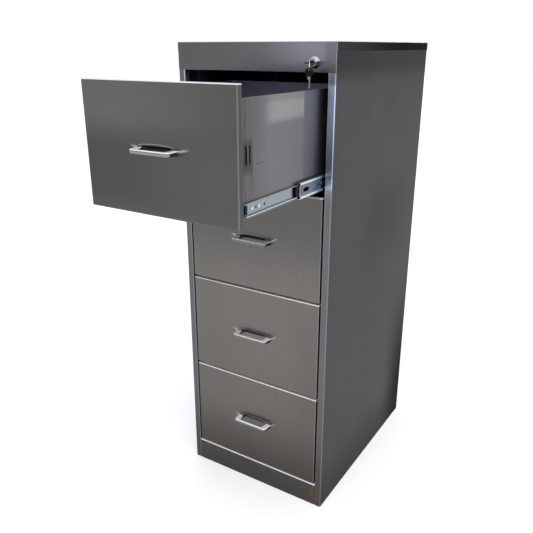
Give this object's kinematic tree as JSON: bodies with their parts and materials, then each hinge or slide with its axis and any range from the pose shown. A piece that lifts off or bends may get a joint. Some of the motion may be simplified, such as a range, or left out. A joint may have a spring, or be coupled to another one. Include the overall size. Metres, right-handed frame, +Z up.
{
  "type": "filing cabinet",
  "caption": "Upright steel filing cabinet with stacked pull-out drawers on telescopic slides, bow handles, folded top cap, kick plate and a cam lock with key.",
  "frame": {"origin": "centre of the footprint, on the surface that the cabinet stands on", "axes": "+Z up, drawer fronts face -Y, +X to the viewer's right when facing the fronts"},
  "size_m": [0.47, 1.0203, 1.31],
  "materials": {
    "body_steel": "satin stainless steel sheet, vertical grain, bluish grey",
    "front_steel": "satin stainless steel sheet, fine grain, neutral grey",
    "inner_steel": "satin stainless steel sheet inside the cabinet",
    "handle_chrome": "polished chrome",
    "lock_chrome": "polished chrome",
    "zinc_plate": "bright zinc plating with a blue tint",
    "key_plastic": "black moulded plastic"
  },
  "bodies": {
    "carcass": {"back_panel": "body_steel", "base_panel": "body_steel", "drawer_1_slide_outer_left": "zinc_plate", "drawer_1_slide_outer_right": "zinc_plate", "drawer_2_slide_outer_left": "zinc_plate", "drawer_2_slide_outer_right": "zinc_plate", "drawer_3_slide_outer_left": "zinc_plate", "drawer_3_slide_outer_right": "zinc_plate", "drawer_4_slide_outer_left": "zinc_plate", "drawer_4_slide_outer_right": "zinc_plate", "front_upright_left": "inner_steel", "front_upright_right": "inner_steel", "lock_bar_guide_lower": "zinc_plate", "lock_bar_guide_upper": "zinc_plate", "lock_housing": "lock_chrome", "lock_nut": "zinc_plate", "plinth": "body_steel", "rear_upright_left": "inner_steel", "rear_upright_right": "inner_steel", "side_panel_left": "body_steel", "side_panel_right": "body_steel", "top_cap": "body_steel"},
    "lock_plug": {"lock_plug": "lock_chrome", "lock_cam": "zinc_plate", "key_in_lock": "key_plastic"},
    "lock_bar": {"lock_bar": "zinc_plate"},
    "key_ring": {"key_ring": "lock_chrome"},
    "drawer_1": {"drawer_1_body": "inner_steel", "drawer_1_front": "front_steel", "drawer_1_handle": "handle_chrome", "drawer_1_lock_catch": "inner_steel", "drawer_1_slide_inner_left": "zinc_plate", "drawer_1_slide_inner_right": "zinc_plate"},
    "slides_1": {"drawer_1_slide_mid_left": "zinc_plate", "drawer_1_slide_mid_right": "zinc_plate"},
    "drawer_2": {"drawer_2_body": "inner_steel", "drawer_2_front": "front_steel", "drawer_2_handle": "handle_chrome", "drawer_2_lock_catch": "inner_steel", "drawer_2_slide_inner_left": "zinc_plate", "drawer_2_slide_inner_right": "zinc_plate"},
    "slides_2": {"drawer_2_slide_mid_left": "zinc_plate", "drawer_2_slide_mid_right": "zinc_plate"},
    "drawer_3": {"drawer_3_body": "inner_steel", "drawer_3_front": "front_steel", "drawer_3_handle": "handle_chrome", "drawer_3_lock_catch": "inner_steel", "drawer_3_slide_inner_left": "zinc_plate", "drawer_3_slide_inner_right": "zinc_plate"},
    "slides_3": {"drawer_3_slide_mid_left": "zinc_plate", "drawer_3_slide_mid_right": "zinc_plate"},
    "drawer_4": {"drawer_4_body": "inner_steel", "drawer_4_front": "front_steel", "drawer_4_handle": "handle_chrome", "drawer_4_lock_catch": "inner_steel", "drawer_4_slide_inner_left": "zinc_plate", "drawer_4_slide_inner_right": "zinc_plate"},
    "slides_4": {"drawer_4_slide_mid_left": "zinc_plate", "drawer_4_slide_mid_right": "zinc_plate"}
  },
  "joints": [
    {"name": "drawer_1_slide", "type": "slide", "parent": "carcass", "child": "drawer_1", "axis": [0, -1, 0], "range_m": [-0.362, 0.138]},
    {"name": "slides_1_travel", "type": "slide", "parent": "carcass", "child": "slides_1", "axis": [0, -1, 0], "range_m": [-0.152, 0.05795]},
    {"name": "drawer_2_slide", "type": "slide", "parent": "carcass", "child": "drawer_2", "axis": [0, -1, 0], "range_m": [0, 0.5]},
    {"name": "slides_2_travel", "type": "slide", "parent": "carcass", "child": "slides_2", "axis": [0, -1, 0], "range_m": [0, 0.20995]},
    {"name": "drawer_3_slide", "type": "slide", "parent": "carcass", "child": "drawer_3", "axis": [0, -1, 0], "range_m": [0, 0.5]},
    {"name": "slides_3_travel", "type": "slide", "parent": "carcass", "child": "slides_3", "axis": [0, -1, 0], "range_m": [0, 0.20995]},
    {"name": "drawer_4_slide", "type": "slide", "parent": "carcass", "child": "drawer_4", "axis": [0, -1, 0], "range_m": [0, 0.5]},
    {"name": "slides_4_travel", "type": "slide", "parent": "carcass", "child": "slides_4", "axis": [0, -1, 0], "range_m": [0, 0.20995]},
    {"name": "lock_bar_drop", "type": "slide", "parent": "carcass", "child": "lock_bar", "axis": [0, 0, -1], "range_m": [0, 0.01273]},
    {"name": "lock_turn", "type": "hinge", "parent": "carcass", "child": "lock_plug", "pos_m": [0.1777, -0.315, 1.2623], "axis": [0, 1, 0], "range_deg": [0, 90.01]},
    {"name": "key_ring_swing", "type": "hinge", "parent": "lock_plug", "child": "key_ring", "pos_m": [0.18282, -0.35138, 1.2623], "axis": [0.866, 0.5, 0], "range_deg": [-5, 6]}
  ],
  "couplings": [
    {"joint": "slides_1_travel", "follows": "drawer_1_slide", "ratio": 0.41989},
    {"joint": "slides_2_travel", "follows": "drawer_2_slide", "ratio": 0.41989},
    {"joint": "slides_3_travel", "follows": "drawer_3_slide", "ratio": 0.41989},
    {"joint": "slides_4_travel", "follows": "drawer_4_slide", "ratio": 0.41989},
    {"joint": "lock_turn", "follows": "lock_bar_drop", "rad_per_m": 123.41}
  ]
}
